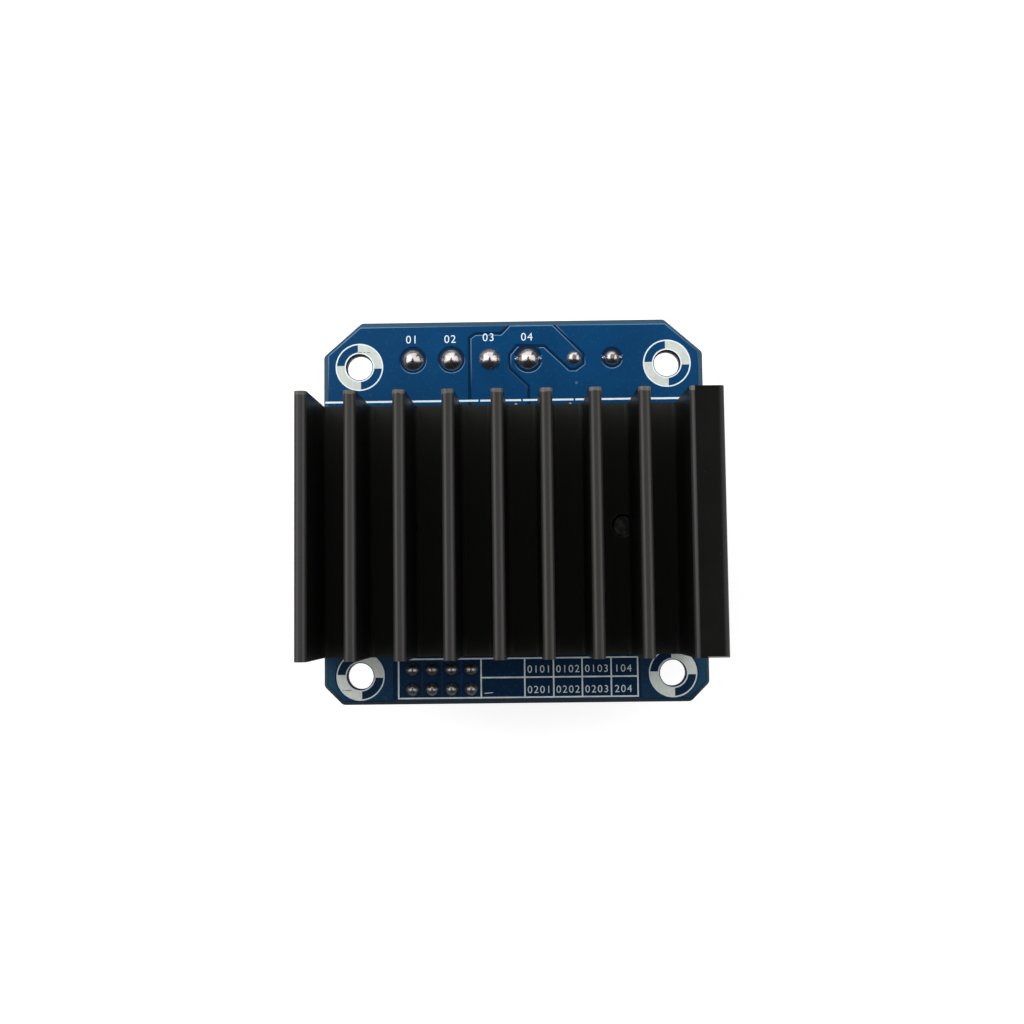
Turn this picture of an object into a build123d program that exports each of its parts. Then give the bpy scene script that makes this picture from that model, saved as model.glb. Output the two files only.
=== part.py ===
from build123d import *
import os

# Dual half-bridge motor driver module: a 50 mm board with a finned heatsink screwed to
# its solder side. Millimetres, +Z up out of the fins. The origin is the centre of the
# four corner holes, on the board's solder face. The components hang below the board.

# Circuit board
board_width = 50.0
board_depth = 50.2
board_thick = 1.6
top_corner_x = 5.0        # the two upper corners are cut off long
top_corner_y = 4.4
bottom_corner = 2.4       # the two lower corners are cut off short
corner_round = 0.8
hole_r = 1.7
hole_side_inset = 4.68    # the corner holes' places, from the board's edges
hole_low_inset = 3.68
hole_top_inset = 5.88

# Thermal pad between the board and the heatsink
pad_thick = 0.5
pad_side_gap = 3.5        # from the board's sides
pad_end_gap = 4.1         # from the heatsink's ends
pad_screw_room = 0.6      # the pad's screw holes are this much wider than the screw

# Heatsink extrusion, cut to length along Y
fin_count = 9
fin_height = 12.9
fin_tip = 1.48            # thickness at the tip
fin_draft = 0.26          # each side leans out by this much at the root
fin_root_round = 0.6
fin_tip_round = 0.6
end_gap_extra = 0.22      # the last channel is a little wider
flange_reach = 4.1        # the end fin's flat top, from its inner edge
flange_thick = 1.5
flange_round = 0.4
base_thick = 3.6
sink_left_overhang = 1.08 # past the board's left edge
sink_right_overhang = 0.2 # the flange, past the board's right edge
sink_low_gap = 6.27       # from the board's lower edge
sink_top_gap = 11.73      # from the board's upper edge

# Heatsink screws, from the component side
screw_r = 1.5
screw_length = 5.0
screw_spread = 27.8       # between the two
screw_rise = 0.33         # above the heatsink's middle
screw_head_r = 2.75
screw_head_high = 2.0
screw_head_round = 0.9
screw_tip_chamfer = 0.3
screw_room = 0.15         # the board's screw holes are wider than the shank
thread_room = 0.02
tap_extra = 0.4           # the tapped holes break through the base by this much
recess_width = 0.7
recess_depth = 1.1
recess_share = 0.55       # the cross recess spans this share of the head

# Screw terminal block, its wire mouths flush with the board's upper edge
pole_count = 4
pole_pitch = 5.08
terminal_centre_x = -5.6
terminal_inset = 5.0      # the pins' row, from the board's upper edge
block_end_wall = 0.3      # added at each end of the row of poles
block_deep = 9.0
block_high = 13.8
block_slope_back = 1.9    # the front leans back towards the top
block_slope_down = 4.2
block_edge_round = 0.4
block_seam_width = 0.3    # the grooves between the block's four poles
block_seam_deep = 0.25
block_back_wall = 1.0
block_front_wall = 1.2
block_floor = 1.0
block_ledge = 0.7         # carries the screw heads
chamber_width = 4.16
mouth_low = 2.2
mouth_high = 4.3
well_room = 0.1

# Clamping screw, its rising cage and the fixed contact of one pole
clamp_screw_r = 1.5
clamp_head_r = 1.95
clamp_head_high = 1.7
clamp_slot_width = 0.7
clamp_slot_deep = 0.9
clamp_head_round = 0.25
clamp_hole_room = 0.15
clamp_thread_room = 0.05
clamp_travel = 2.4
cage_side_room = 0.08
cage_deep = 4.4
cage_side_wall = 0.45
cage_bottom_wall = 0.8
cage_top_wall = 1.5
cage_lift = 0.2           # the open cage stands this far above the contact's foot
cage_edge_round = 0.35
contact_width = 2.8
contact_thick = 0.8
contact_bend_round = 0.5
contact_bar_low = 5.6     # underside of the bar that the wire is pressed against
contact_tip_gap = 0.1     # between the bar, the screw's tip and the open cage's roof
contact_pin_width = 1.0
cage_leg_gap = 0.4
pin_floor_room = 0.1

# Electrolytic capacitor
cap_x = 10.6
cap_lead_pitch = 5.0
cap_lead_r = 0.3
cap_r = 5.0               # over the sleeve
cap_high = 13.0
cap_standoff = 0.3
cap_sleeve_thick = 0.15
cap_edge_round = 0.7
cap_groove_height = 2.0   # middle of the rolled groove that grips the bung
cap_groove_deep = 0.35
cap_groove_reach = 0.7
cap_bung_r = 4.2
cap_bung_deep = 1.2
cap_bung_sunk = 0.15
cap_sleeve_curl = 0.7     # the sleeve's shrunk lip over the can's end
cap_vent_deep = 0.15
cap_vent_width = 0.35
cap_vent_length = 6.4

# Pin header, two rows of four
header_columns = 4
header_rows = 2
header_pitch = 2.54
header_x = -9.73
header_inset = 3.19       # the middle of the rows, from the board's lower edge
header_base_high = 2.54
header_base_chamfer = 0.45
header_pin_width = 0.64
header_pin_above = 6.0    # beyond the plastic
header_pin_bevel = 0.18

# Two half-bridge chips, seven-lead power packages with a metal tab
bridge_spread = 11.6
bridge_rise = 0.73        # above the heatsink's middle
bridge_body_width = 10.0
bridge_body_deep = 8.9
bridge_body_high = 4.4
bridge_draft = 5.0
bridge_edge_round = 0.2
bridge_tab_width = 8.2
bridge_tab_thick = 1.27
bridge_tab_out = 1.4
bridge_tab_in = 6.0
bridge_tab_chamfer = 0.8
bridge_lead_count = 7
bridge_lead_pitch = 1.27
bridge_lead_width = 0.6
bridge_lead_thick = 0.5
bridge_lead_out = 1.1
bridge_lead_run = 2.3
bridge_lead_foot = 1.6
bridge_lead_bend = 0.45
bridge_stub = 1.0         # the middle lead is cut short

# Logic buffer, wide twenty-lead package
buffer_x = 6.6
buffer_width = 12.8
buffer_deep = 7.5
buffer_high = 2.3
buffer_standoff = 0.1
buffer_draft = 6.0
buffer_edge_round = 0.15
buffer_pin_one_r = 0.6
buffer_pin_one_deep = 0.1
buffer_lead_count = 10    # on each side
buffer_lead_pitch = 1.27
buffer_lead_width = 0.42
buffer_lead_thick = 0.26
buffer_lead_out = 0.45
buffer_lead_run = 0.85
buffer_lead_foot = 0.55
buffer_lead_bend = 0.25

# Chip resistors and chip capacitors
chip_length = 2.0
chip_width = 1.25
chip_end = 0.4
resistor_high = 0.5
resistor_pitch = 2.6
resistor_columns = 5
resistor_rows = 2
resistor_x = -9.8
resistor_row_pitch = 2.4
chip_cap_high = 0.9
chip_cap_pitch = 3.4
chip_cap_count = 6
chip_cap_x = 0.0

# Solder joints: the square pins end inside them, the round leads stand out
terminal_hole_r = 0.8
terminal_joint_r = 1.5
terminal_joint_high = 1.1
terminal_pin_out = 0.65
cap_hole_r = 0.45
cap_joint_r = 1.05
cap_joint_high = 0.8
cap_lead_out = 1.0
header_hole_r = 0.5
header_joint_r = 0.92
header_joint_high = 0.8
header_pin_out = 0.45
joint_crown = 0.35        # the joint's round top reaches this far from its middle
joint_crown_drop = 0.08   # and falls by this much
joint_belly = 0.07        # the sloping side bulges by this share of its reach

# Places worked out from the values above
left_x = -board_width / 2
right_x = board_width / 2
hole_pitch_x = board_width - 2 * hole_side_inset
hole_pitch_y = board_depth - hole_low_inset - hole_top_inset
low_y = -hole_pitch_y / 2 - hole_low_inset
high_y = hole_pitch_y / 2 + hole_top_inset
sink_low_y = low_y + sink_low_gap
sink_top_y = high_y - sink_top_gap
sink_length = sink_top_y - sink_low_y
sink_middle_y = (sink_low_y + sink_top_y) / 2
pad_width = board_width - 2 * pad_side_gap
pad_depth = sink_length - 2 * pad_end_gap
screw_y = sink_middle_y + screw_rise
terminal_pin_y = high_y - terminal_inset
cap_y = terminal_pin_y    # the capacitor stands in line with the terminal's pins
header_y = low_y + header_inset
half_row = (pole_count - 1) / 2
pole_x = [terminal_centre_x + pole_pitch * (i - half_row) for i in range(pole_count)]
terminal_spots = [(x, terminal_pin_y) for x in pole_x]
cap_spots = [(cap_x - cap_lead_pitch / 2, cap_y), (cap_x + cap_lead_pitch / 2, cap_y)]
screw_spots = [(-screw_spread / 2, screw_y), (screw_spread / 2, screw_y)]
base_bottom = pad_thick
floor_z = base_bottom + base_thick
tip_z = floor_z + fin_height
fin_root = fin_tip + 2 * fin_draft
first_fin_x = left_x - sink_left_overhang + fin_tip / 2
last_fin_x = right_x + sink_right_overhang - flange_reach + fin_tip / 2
fin_pitch = (last_fin_x - end_gap_extra - first_fin_x) / (fin_count - 1)
fin_x = [first_fin_x + fin_pitch * i for i in range(fin_count - 1)] + [last_fin_x]

# The chips' leads leave with their lower faces at half the body's height
bridge_lead_exit = (bridge_body_high + bridge_lead_thick) / 2
buffer_lead_exit = buffer_standoff + (buffer_high + buffer_lead_thick) / 2

# Heights of the terminal block's pieces above the board's component face
contact_foot_top = block_floor + contact_thick
cage_low = contact_foot_top + cage_lift
contact_bar_top = contact_bar_low + contact_thick
cage_roof_low = contact_bar_top + contact_tip_gap
cage_top = cage_roof_low + cage_top_wall
ledge_low = cage_top + clamp_travel + cage_lift
ledge_top = ledge_low + block_ledge
clamp_tip = contact_bar_top + contact_tip_gap / 2
block_back_y = high_y - block_deep
chamber_back_y = block_back_y + block_back_wall
chamber_front_y = high_y - block_front_wall
cage_back_y = chamber_back_y + contact_thick + cage_leg_gap
cage_y = cage_back_y + cage_deep / 2
cage_front_y = cage_back_y + cage_deep
cage_width = chamber_width - 2 * cage_side_room

# Rows of the hidden face, from the terminal block down to the board's lower edge
bridge_y = sink_middle_y + bridge_rise
bridge_front_y = bridge_y + bridge_body_deep / 2
bridge_back_y = bridge_y - bridge_body_deep / 2
bridge_tab_y = bridge_front_y + bridge_tab_out
bridge_feet_y = bridge_back_y - bridge_lead_run - bridge_lead_foot
header_top_y = header_y + header_rows * header_pitch / 2
chip_cap_y = (block_back_y + bridge_tab_y) / 2
resistor_y = (bridge_feet_y + header_top_y) / 2
buffer_y = (bridge_feet_y + low_y) / 2

os.makedirs("parts", exist_ok=True)


def level(height):
    """The plane at a height above the board's component face."""
    return Plane.XY.offset(-board_thick - height)


def upright(x, y):
    """An upright plane through a spot: its x runs along X, its y away from the board."""
    return Plane(origin=(x, y, -board_thick), x_dir=(1, 0, 0), z_dir=(0, 1, 0))


def side_on(x):
    """An upright plane at x: its x runs along Y, its y away from the board."""
    return Plane(origin=(x, 0, -board_thick), x_dir=(0, 1, 0), z_dir=(-1, 0, 0))


def gull_wing(start_y, sign, exit_height, out, run, foot, thick, bend):
    """Middle line of a bent lead, from the package's side down to the board."""
    low = thick / 2
    FilletPolyline(
        (start_y, exit_height),
        (start_y + sign * out, exit_height),
        (start_y + sign * run, low),
        (start_y + sign * (run + foot), low),
        radius=bend,
    )


def joint_outline(reach, high):
    """Half section of a solder joint: a cone with full sides and a round top."""
    shoulder = high - joint_crown_drop
    bulge = joint_belly * reach
    belly = ((reach + joint_crown) / 2 + bulge, shoulder / 2 + bulge)
    Line((0, 0), (reach, 0))
    ThreePointArc((reach, 0), belly, (joint_crown, shoulder))
    TangentArc((0, high), (joint_crown, shoulder), tangent=(1, 0))
    Line((0, high), (0, 0))


# Circuit board
with BuildPart() as circuit_board:
    with BuildSketch():
        with BuildLine():
            Polyline(
                (left_x + bottom_corner, low_y),
                (right_x - bottom_corner, low_y),
                (right_x, low_y + bottom_corner),
                (right_x, high_y - top_corner_y),
                (right_x - top_corner_x, high_y),
                (left_x + top_corner_x, high_y),
                (left_x, high_y - top_corner_y),
                (left_x, low_y + bottom_corner),
                close=True,
            )
        outline = make_face()
        fillet(outline.vertices(), corner_round)
        with GridLocations(hole_pitch_x, hole_pitch_y, 2, 2):
            Circle(hole_r, mode=Mode.SUBTRACT)
        with Locations(*terminal_spots):
            Circle(terminal_hole_r, mode=Mode.SUBTRACT)
        with Locations(*cap_spots):
            Circle(cap_hole_r, mode=Mode.SUBTRACT)
        with Locations((header_x, header_y)):
            with GridLocations(header_pitch, header_pitch, header_columns, header_rows):
                Circle(header_hole_r, mode=Mode.SUBTRACT)
        with Locations(*screw_spots):
            Circle(screw_r + screw_room, mode=Mode.SUBTRACT)
    extrude(amount=-board_thick)
circuit_board.part.label = "circuit_board"
export_step(circuit_board.part, "parts/circuit_board.step")

# Thermal pad
with BuildPart() as thermal_pad:
    with BuildSketch():
        with Locations((0, sink_middle_y)):
            Rectangle(pad_width, pad_depth)
        with Locations(*screw_spots):
            Circle(screw_r + pad_screw_room, mode=Mode.SUBTRACT)
    extrude(amount=pad_thick)
thermal_pad.part.label = "thermal_pad"
export_step(thermal_pad.part, "parts/thermal_pad.step")

# Heatsink: one section, extruded, then drilled for the two screws
with BuildPart() as heatsink:
    with BuildSketch(Plane.XZ.offset(-sink_top_y)) as section:
        with BuildLine():
            left_end = fin_x[0] - fin_tip / 2
            web_right = fin_x[-1] + fin_tip / 2
            flange_end = fin_x[-1] - fin_tip / 2 + flange_reach
            outline = [(left_end, base_bottom), (left_end, tip_z)]
            for near, far in zip(fin_x[:-1], fin_x[1:]):
                outline.append((near + fin_tip / 2, tip_z))
                outline.append((near + fin_root / 2, floor_z))
                outline.append((far - fin_root / 2, floor_z))
                outline.append((far - fin_tip / 2, tip_z))
            outline.append((flange_end, tip_z))
            outline.append((flange_end, tip_z - flange_thick))
            outline.append((web_right, tip_z - flange_thick))
            outline.append((web_right, base_bottom))
            Polyline(*outline, close=True)
        make_face()
        tips = section.vertices().group_by(Axis.Y)[-1]
        fillet(tips, fin_tip_round)
        roots = section.vertices().filter_by_position(Axis.Y, floor_z, floor_z)
        fillet(roots, fin_root_round)
        flange_corners = section.vertices().filter_by_position(
            Axis.Y, tip_z - flange_thick, tip_z - flange_thick
        )
        fillet(flange_corners, flange_round)
    extrude(amount=sink_length)
    with BuildSketch(Plane.XY.offset(base_bottom)):
        with Locations(*screw_spots):
            Circle(screw_r + thread_room)
    extrude(amount=base_thick + tap_extra, mode=Mode.SUBTRACT)
heatsink.part.label = "heatsink"
export_step(heatsink.part, "parts/heatsink.step")

# Heatsink screws: pan heads on the component face, tips sunk in the base
with BuildPart() as heatsink_screws:
    with BuildSketch(level(0)):
        with Locations(*screw_spots):
            Circle(screw_head_r)
    extrude(amount=-screw_head_high)
    crowns = heatsink_screws.edges().filter_by(GeomType.CIRCLE).group_by(Axis.Z)[0]
    fillet(crowns, screw_head_round)
    with BuildSketch(level(0)):
        with Locations(*screw_spots):
            Circle(screw_r)
    extrude(amount=screw_length)
    tip_edges = heatsink_screws.faces().group_by(Axis.Z)[-1].edges()
    chamfer(tip_edges, screw_tip_chamfer)
    with BuildSketch(level(screw_head_high)):
        with Locations(*screw_spots):
            Rectangle(2 * screw_head_r * recess_share, recess_width)
            Rectangle(recess_width, 2 * screw_head_r * recess_share)
    extrude(amount=recess_depth, mode=Mode.SUBTRACT)
heatsink_screws.part.label = "heatsink_screws"
export_step(heatsink_screws.part, "parts/heatsink_screws.step")

# Terminal block housing
with BuildPart() as terminal_housing:
    block_left = pole_x[0] - pole_pitch / 2 - block_end_wall
    block_length = pole_count * pole_pitch + 2 * block_end_wall
    with BuildSketch(side_on(block_left)) as block_section:
        with BuildLine():
            Polyline(
                (block_back_y, 0),
                (block_back_y, block_high),
                (high_y - block_slope_back, block_high),
                (high_y, block_high - block_slope_down),
                (high_y, 0),
                close=True,
            )
        make_face()
        upper = block_section.vertices().group_by(Axis.Y)[-1]
        fillet(upper, block_edge_round)
    extrude(amount=-block_length)
    for x in pole_x[1:]:
        with BuildSketch(side_on(x - pole_pitch / 2)):
            add(block_section.sketch_local)
            offset(block_section.sketch_local, -block_seam_deep, mode=Mode.SUBTRACT)
        extrude(amount=block_seam_width / 2, both=True, mode=Mode.SUBTRACT)
    for x in pole_x:
        middle_y = (chamber_back_y + chamber_front_y) / 2
        with BuildSketch(level(block_floor)):
            with Locations((x, middle_y)):
                Rectangle(chamber_width, chamber_front_y - chamber_back_y)
        extrude(amount=-(ledge_low - block_floor), mode=Mode.SUBTRACT)
        with BuildSketch(upright(x, chamber_front_y)):
            with Locations((0, mouth_low)):
                Rectangle(chamber_width, mouth_high, align=(Align.CENTER, Align.MIN))
        extrude(amount=block_front_wall, mode=Mode.SUBTRACT)
        with BuildSketch(level(ledge_low)):
            with Locations((x, cage_y)):
                Circle(clamp_screw_r + clamp_hole_room)
        extrude(amount=-block_ledge, mode=Mode.SUBTRACT)
        with BuildSketch(level(ledge_top)):
            with Locations((x, cage_y)):
                Circle(clamp_head_r + well_room)
        extrude(amount=-(block_high - ledge_top), mode=Mode.SUBTRACT)
        with BuildSketch(level(0)):
            with Locations((x, terminal_pin_y)):
                Rectangle(contact_pin_width + 2 * pin_floor_room, contact_thick + 2 * pin_floor_room)
        extrude(amount=-block_floor, mode=Mode.SUBTRACT)
terminal_housing.part.label = "terminal_housing"
export_step(terminal_housing.part, "parts/terminal_housing.step")

# Fixed contacts: one bent strip for each pole, its pin soldered through the board
for number, x in enumerate(pole_x, start=1):
    with BuildPart() as contact:
        with BuildSketch(side_on(x)) as strip:
            foot_end_y = terminal_pin_y + contact_thick / 2
            with BuildLine():
                Polyline(
                    (chamber_back_y, block_floor),
                    (foot_end_y, block_floor),
                    (foot_end_y, contact_foot_top),
                    (chamber_back_y + contact_thick, contact_foot_top),
                    (chamber_back_y + contact_thick, contact_bar_low),
                    (cage_front_y, contact_bar_low),
                    (cage_front_y, contact_bar_top),
                    (chamber_back_y, contact_bar_top),
                    close=True,
                )
            make_face()
            outer_bends = strip.vertices().group_by(Axis.X)[0]
            fillet(outer_bends, contact_bend_round)
        extrude(amount=contact_width / 2, both=True)
        with BuildSketch(level(block_floor)):
            with Locations((x, terminal_pin_y)):
                Rectangle(contact_pin_width, contact_thick)
        extrude(amount=block_floor + board_thick + terminal_pin_out)
    contact.part.label = f"terminal_contact_{number}"
    export_step(contact.part, f"parts/terminal_contact_{number}.step")

# Rising cages, open
for number, x in enumerate(pole_x, start=1):
    with BuildPart() as cage:
        with BuildSketch(upright(x, cage_back_y)) as ring:
            with Locations((0, cage_low)):
                Rectangle(cage_width, cage_top - cage_low, align=(Align.CENTER, Align.MIN))
            fillet(ring.vertices(), cage_edge_round)
            with Locations((0, cage_low + cage_bottom_wall)):
                Rectangle(
                    cage_width - 2 * cage_side_wall,
                    cage_roof_low - cage_low - cage_bottom_wall,
                    align=(Align.CENTER, Align.MIN),
                    mode=Mode.SUBTRACT,
                )
        extrude(amount=cage_deep)
        with BuildSketch(level(cage_roof_low)):
            with Locations((x, cage_y)):
                Circle(clamp_screw_r + clamp_thread_room)
        extrude(amount=-cage_top_wall, mode=Mode.SUBTRACT)
    cage.part.label = f"clamp_cage_{number}"
    export_step(cage.part, f"parts/clamp_cage_{number}.step")

# Clamping screws, slotted
for number, x in enumerate(pole_x, start=1):
    with BuildPart() as clamp_screw:
        with BuildSketch(level(clamp_tip)):
            with Locations((x, cage_y)):
                Circle(clamp_screw_r)
        extrude(amount=-(ledge_top - clamp_tip))
        with BuildSketch(level(ledge_top)):
            with Locations((x, cage_y)):
                Circle(clamp_head_r)
        extrude(amount=-clamp_head_high)
        crown = clamp_screw.edges().filter_by(GeomType.CIRCLE).group_by(Axis.Z)[0]
        fillet(crown, clamp_head_round)
        with BuildSketch(level(ledge_top + clamp_head_high)):
            with Locations((x, cage_y)):
                Rectangle(2 * clamp_head_r, clamp_slot_width)
        extrude(amount=clamp_slot_deep, mode=Mode.SUBTRACT)
    clamp_screw.part.label = f"clamp_screw_{number}"
    export_step(clamp_screw.part, f"parts/clamp_screw_{number}.step")

# Electrolytic capacitor: can with a rolled groove, bung, sleeve and leads
cap_axis = Axis((cap_x, cap_y, 0), (0, 0, 1))
can_r = cap_r - cap_sleeve_thick
cap_top = cap_standoff + cap_high


def cap_outline(radius, low, high, groove_deep, edge_round):
    """Half section of the can or sleeve, with the rolled groove near the board."""
    groove_low = cap_standoff + cap_groove_height - cap_groove_reach
    groove_high = cap_standoff + cap_groove_height + cap_groove_reach
    Line((0, low), (radius, low))
    Line((radius, low), (radius, groove_low))
    ThreePointArc(
        (radius, groove_low),
        (radius - groove_deep, cap_standoff + cap_groove_height),
        (radius, groove_high),
    )
    Line((radius, groove_high), (radius, high - edge_round))
    RadiusArc((radius, high - edge_round), (radius - edge_round, high), edge_round)
    Line((radius - edge_round, high), (0, high))
    Line((0, high), (0, low))


with BuildPart() as capacitor_can:
    with BuildSketch(upright(cap_x, cap_y)):
        with BuildLine():
            cap_outline(
                can_r, cap_standoff, cap_top - cap_sleeve_thick, cap_groove_deep, cap_edge_round
            )
        make_face()
    revolve(axis=cap_axis)
    with BuildSketch(level(cap_standoff)):
        with Locations((cap_x, cap_y)):
            Circle(cap_bung_r)
    extrude(amount=-cap_bung_deep, mode=Mode.SUBTRACT)
    with BuildSketch(level(cap_top - cap_sleeve_thick)):
        with Locations((cap_x, cap_y)):
            with PolarLocations(0, 3, angular_range=180):
                Rectangle(cap_vent_length, cap_vent_width)
    extrude(amount=cap_vent_deep, mode=Mode.SUBTRACT)
capacitor_can.part.label = "capacitor_can"
export_step(capacitor_can.part, "parts/capacitor_can.step")

with BuildPart() as capacitor_sleeve:
    with BuildSketch(upright(cap_x, cap_y)):
        with BuildLine():
            cap_outline(cap_r, cap_standoff, cap_top, cap_groove_deep, cap_edge_round)
        make_face()
    revolve(axis=cap_axis)
    with BuildSketch(upright(cap_x, cap_y)):
        with BuildLine():
            cap_outline(
                can_r, cap_standoff, cap_top - cap_sleeve_thick, cap_groove_deep, cap_edge_round
            )
        make_face()
    revolve(axis=cap_axis, mode=Mode.SUBTRACT)
    with BuildSketch(level(cap_top)):
        with Locations((cap_x, cap_y)):
            Circle(can_r - cap_edge_round - cap_sleeve_curl)
    extrude(amount=cap_sleeve_thick, mode=Mode.SUBTRACT)
capacitor_sleeve.part.label = "capacitor_sleeve"
export_step(capacitor_sleeve.part, "parts/capacitor_sleeve.step")

with BuildPart() as capacitor_bung:
    with BuildSketch(level(cap_standoff + cap_bung_sunk)):
        with Locations((cap_x, cap_y)):
            Circle(cap_bung_r)
    extrude(amount=-(cap_bung_deep - cap_bung_sunk))
capacitor_bung.part.label = "capacitor_bung"
export_step(capacitor_bung.part, "parts/capacitor_bung.step")

with BuildPart() as capacitor_leads:
    with BuildSketch(level(cap_standoff + cap_bung_sunk)):
        with Locations(*cap_spots):
            Circle(cap_lead_r)
    extrude(amount=cap_standoff + cap_bung_sunk + board_thick + cap_lead_out)
capacitor_leads.part.label = "capacitor_leads"
export_step(capacitor_leads.part, "parts/capacitor_leads.step")

# Pin header: the plastic is a row of cut-cornered cells, with the pins pressed through
with BuildPart() as header_base:
    with BuildSketch(level(0)):
        with Locations((header_x, header_y)):
            with GridLocations(header_pitch, 0, header_columns, 1):
                half_x = header_pitch / 2
                half_y = header_rows * header_pitch / 2
                cut = header_base_chamfer
                Polygon(
                    (half_x, half_y - cut),
                    (half_x - cut, half_y),
                    (cut - half_x, half_y),
                    (-half_x, half_y - cut),
                    (-half_x, cut - half_y),
                    (cut - half_x, -half_y),
                    (half_x - cut, -half_y),
                    (half_x, cut - half_y),
                )
            with GridLocations(header_pitch, header_pitch, header_columns, header_rows):
                Rectangle(header_pin_width, header_pin_width, mode=Mode.SUBTRACT)
    extrude(amount=-header_base_high)
header_base.part.label = "header_base"
export_step(header_base.part, "parts/header_base.step")

with BuildPart() as header_pins:
    with BuildSketch(level(header_base_high + header_pin_above)):
        with Locations((header_x, header_y)):
            with GridLocations(header_pitch, header_pitch, header_columns, header_rows):
                Rectangle(header_pin_width, header_pin_width)
    extrude(amount=header_base_high + header_pin_above + board_thick + header_pin_out)
    ends = header_pins.faces().group_by(Axis.Z)[0].edges()
    chamfer(ends, header_pin_bevel)
header_pins.part.label = "header_pins"
export_step(header_pins.part, "parts/header_pins.step")

# Half-bridge chips, tabs towards the terminals
for number, side in enumerate((-1, 1), start=1):
    x = side * bridge_spread / 2
    with BuildPart() as tab:
        with BuildSketch(level(0)) as tab_outline:
            with Locations((x, bridge_tab_y)):
                Rectangle(
                    bridge_tab_width,
                    bridge_tab_in + bridge_tab_out,
                    align=(Align.CENTER, Align.MAX),
                )
            outer_corners = tab_outline.vertices().group_by(Axis.Y)[-1]
            chamfer(outer_corners, bridge_tab_chamfer)
        extrude(amount=-bridge_tab_thick)
    tab.part.label = f"bridge_chip_{number}_tab"
    export_step(tab.part, f"parts/bridge_chip_{number}_tab.step")

    with BuildPart() as body:
        with BuildSketch(level(0)):
            with Locations((x, bridge_y)):
                Rectangle(bridge_body_width, bridge_body_deep)
        extrude(amount=-bridge_body_high, taper=bridge_draft)
        crown = body.faces().group_by(Axis.Z)[0].edges()
        fillet(crown, bridge_edge_round)
        add(tab.part, mode=Mode.SUBTRACT)
    body.part.label = f"bridge_chip_{number}_body"
    export_step(body.part, f"parts/bridge_chip_{number}_body.step")

    with BuildPart() as leads:
        half_leads = (bridge_lead_count - 1) / 2
        lead_start_y = body.faces().sort_by(Axis.Y)[0].center().Y
        for place in range(bridge_lead_count):
            lead_x = x + (place - half_leads) * bridge_lead_pitch
            with BuildSketch(side_on(lead_x)):
                if place == half_leads:
                    with Locations((lead_start_y, bridge_lead_exit)):
                        Rectangle(bridge_stub, bridge_lead_thick, align=(Align.MAX, Align.CENTER))
                else:
                    with BuildLine():
                        gull_wing(
                            lead_start_y,
                            -1,
                            bridge_lead_exit,
                            bridge_lead_out,
                            bridge_lead_run,
                            bridge_lead_foot,
                            bridge_lead_thick,
                            bridge_lead_bend,
                        )
                    trace(line_width=bridge_lead_thick)
            extrude(amount=bridge_lead_width / 2, both=True)
    leads.part.label = f"bridge_chip_{number}_leads"
    export_step(leads.part, f"parts/bridge_chip_{number}_leads.step")

# Logic buffer
with BuildPart() as buffer_body:
    with BuildSketch(level(buffer_standoff)):
        with Locations((buffer_x, buffer_y)):
            Rectangle(buffer_width, buffer_deep)
    extrude(amount=-buffer_high, taper=buffer_draft)
    crown = buffer_body.faces().group_by(Axis.Z)[0].edges()
    fillet(crown, buffer_edge_round)
    with BuildSketch(level(buffer_standoff + buffer_high)):
        mark_x = buffer_x - buffer_width / 2 + 2 * buffer_pin_one_r + buffer_edge_round
        mark_y = buffer_y + buffer_deep / 2 - 2 * buffer_pin_one_r - buffer_edge_round
        with Locations((mark_x, mark_y)):
            Circle(buffer_pin_one_r)
    extrude(amount=buffer_pin_one_deep, mode=Mode.SUBTRACT)
buffer_body.part.label = "buffer_chip_body"
export_step(buffer_body.part, "parts/buffer_chip_body.step")

with BuildPart() as buffer_leads:
    half_leads = (buffer_lead_count - 1) / 2
    sides = buffer_body.faces().sort_by(Axis.Y)
    for sign, side_y in ((-1, sides[0].center().Y), (1, sides[-1].center().Y)):
        for place in range(buffer_lead_count):
            with BuildSketch(side_on(buffer_x + (place - half_leads) * buffer_lead_pitch)):
                with BuildLine():
                    gull_wing(
                        side_y,
                        sign,
                        buffer_lead_exit,
                        buffer_lead_out,
                        buffer_lead_run,
                        buffer_lead_foot,
                        buffer_lead_thick,
                        buffer_lead_bend,
                    )
                trace(line_width=buffer_lead_thick)
            extrude(amount=buffer_lead_width / 2, both=True)
buffer_leads.part.label = "buffer_chip_leads"
export_step(buffer_leads.part, "parts/buffer_chip_leads.step")

# Chip resistors and chip capacitors: bodies between two wrapped metal ends
resistor_grid = GridLocations(
    resistor_pitch, resistor_row_pitch, resistor_columns, resistor_rows
)
resistor_spots = [
    (resistor_x + spot.position.X, resistor_y + spot.position.Y) for spot in resistor_grid
]
chip_cap_spots = [
    (chip_cap_x + spot.position.X, chip_cap_y)
    for spot in GridLocations(chip_cap_pitch, 0, chip_cap_count, 1)
]
for name, spots, high in (
    ("resistor", resistor_spots, resistor_high),
    ("chip_capacitor", chip_cap_spots, chip_cap_high),
):
    with BuildPart() as bodies:
        with BuildSketch(level(0)):
            with Locations(*spots):
                Rectangle(chip_width, chip_length - 2 * chip_end)
        extrude(amount=-high)
    bodies.part.label = f"{name}_bodies"
    export_step(bodies.part, f"parts/{name}_bodies.step")

    with BuildPart() as ends:
        with BuildSketch(level(0)):
            with Locations(*spots):
                with GridLocations(0, chip_length - chip_end, 1, 2):
                    Rectangle(chip_width, chip_end)
        extrude(amount=-high)
    ends.part.label = f"{name}_ends"
    export_step(ends.part, f"parts/{name}_ends.step")

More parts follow.
